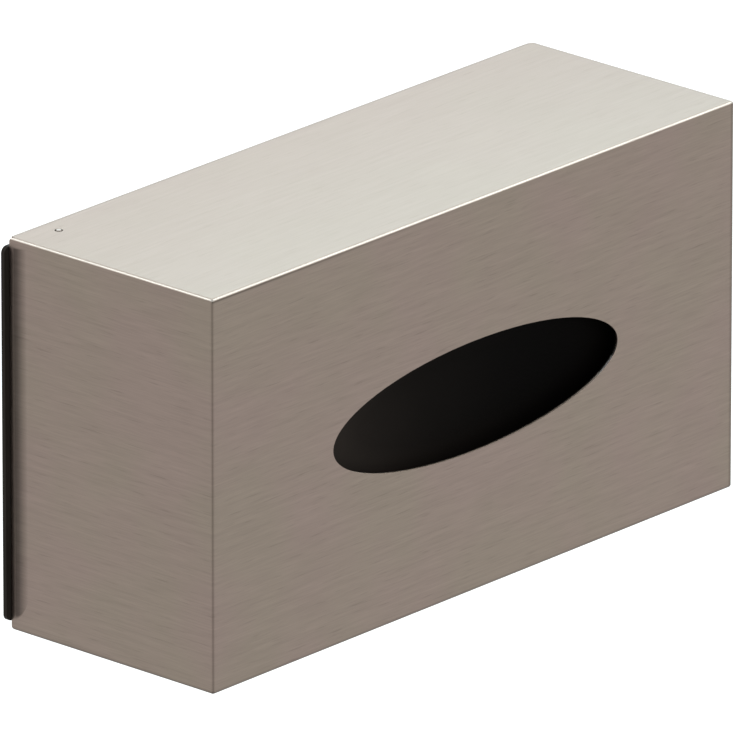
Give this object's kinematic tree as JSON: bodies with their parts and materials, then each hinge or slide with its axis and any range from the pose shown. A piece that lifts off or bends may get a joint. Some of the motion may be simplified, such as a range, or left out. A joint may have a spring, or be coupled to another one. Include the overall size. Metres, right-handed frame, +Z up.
{
  "type": "wall mounted paper towel dispenser",
  "caption": "Low wall box that pops folded paper towels through an oval outlet: a hinged brushed steel cover, a black wall plate, a moulded tray and a sprung follower.",
  "frame": {"origin": "centre of the wall plate's back face, in the middle of its four wall holes", "axes": "+X to the right as seen from the front, +Y into the wall, +Z up; the front with the outlet faces -Y"},
  "size_m": [0.2644, 0.0917, 0.1382],
  "materials": {
    "brushed_stainless": "fine brushed grain, satin",
    "black_powder_coat": "black powder coat, satin",
    "black_moulding": "moulded, fine texture",
    "nylon": "natural nylon",
    "spring_wire": "drawn spring wire",
    "zinc_plate": "bright zinc plate",
    "black_rubber": "matt"
  },
  "bodies": {
    "root": {"wall_plate": "black_powder_coat", "tray_studs": "zinc_plate", "tray_washers": "zinc_plate", "tray_nuts": "zinc_plate", "towel_tray": "black_moulding", "follower_spring_left": "spring_wire", "follower_spring_right": "spring_wire", "upper_pivot_bush": "nylon", "lower_pivot_bush": "nylon", "latch_barrel": "zinc_plate", "latch_cap": "zinc_plate", "latch_spring": "spring_wire", "upper_glide": "nylon", "lower_glide": "nylon", "cover_buffers": "black_rubber"},
    "cover": {"cover_shell": "brushed_stainless", "upper_pivot_pin": "brushed_stainless", "lower_pivot_pin": "brushed_stainless", "upper_pivot_clip": "spring_wire", "lower_pivot_clip": "spring_wire"},
    "follower": {"follower_plate": "black_moulding", "follower_shoes": "nylon"},
    "latch": {"latch_plunger": "brushed_stainless"}
  },
  "joints": [
    {"name": "cover_swing", "type": "hinge", "parent": "root", "child": "cover", "pos_m": [0.122, -0.0137, 0], "axis": [0, 0, 1], "range_deg": [0, 90]},
    {"name": "follower_slide", "type": "slide", "parent": "root", "child": "follower", "axis": [0, 1, 0], "range_m": [0, 0.06], "stiffness_N_per_m": 138, "springref_m": -0.028, "deforming": ["follower_spring_left", "follower_spring_right"]},
    {"name": "latch_press", "type": "slide", "parent": "root", "child": "latch", "axis": [0, 0, -1], "range_m": [0, 0.0022], "stiffness_N_per_m": 800, "springref_m": -0.0015, "deforming": ["latch_spring"]}
  ]
}
